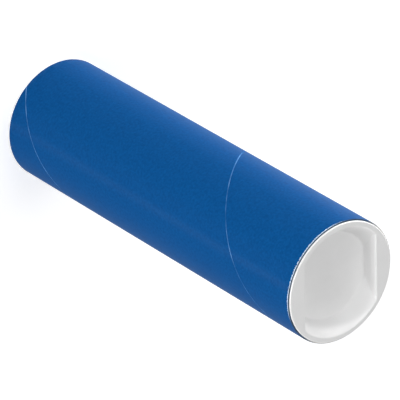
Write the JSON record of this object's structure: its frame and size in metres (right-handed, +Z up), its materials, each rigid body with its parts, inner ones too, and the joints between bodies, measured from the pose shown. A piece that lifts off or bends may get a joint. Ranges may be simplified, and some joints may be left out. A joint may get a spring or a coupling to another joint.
{
  "type": "mailing tube",
  "caption": "Round spiral-wound paperboard mailing tube with blue outer paper, closed at each end by a white push-in plastic cap with a finger recess.",
  "frame": {"origin": "middle of the bottom cap's outer face, on the surface that the tube stands on", "axes": "+Z up along the tube's axis towards the top cap, X across the straight walls of the caps' finger recesses, Y along them"},
  "size_m": [0.0802, 0.0802, 0.2782],
  "materials": {
    "blue_paperboard": "smooth coated blue paper, slightly glossy, wound in a spiral over grey-brown board",
    "white_polyethylene": "soft white moulded polyethylene, satin"
  },
  "bodies": {
    "bottom_cap": {"bottom_end_cap": "white_polyethylene"},
    "tube": {"paperboard_tube": "blue_paperboard"},
    "top_cap": {"top_end_cap": "white_polyethylene"}
  },
  "joints": [
    {"name": "bottom_cap_slide", "type": "slide", "parent": "bottom_cap", "child": "tube", "axis": [0, 0, 1], "range_m": [0, 0.1]},
    {"name": "top_cap_slide", "type": "slide", "parent": "tube", "child": "top_cap", "axis": [0, 0, 1], "range_m": [0, 0.1]}
  ]
}
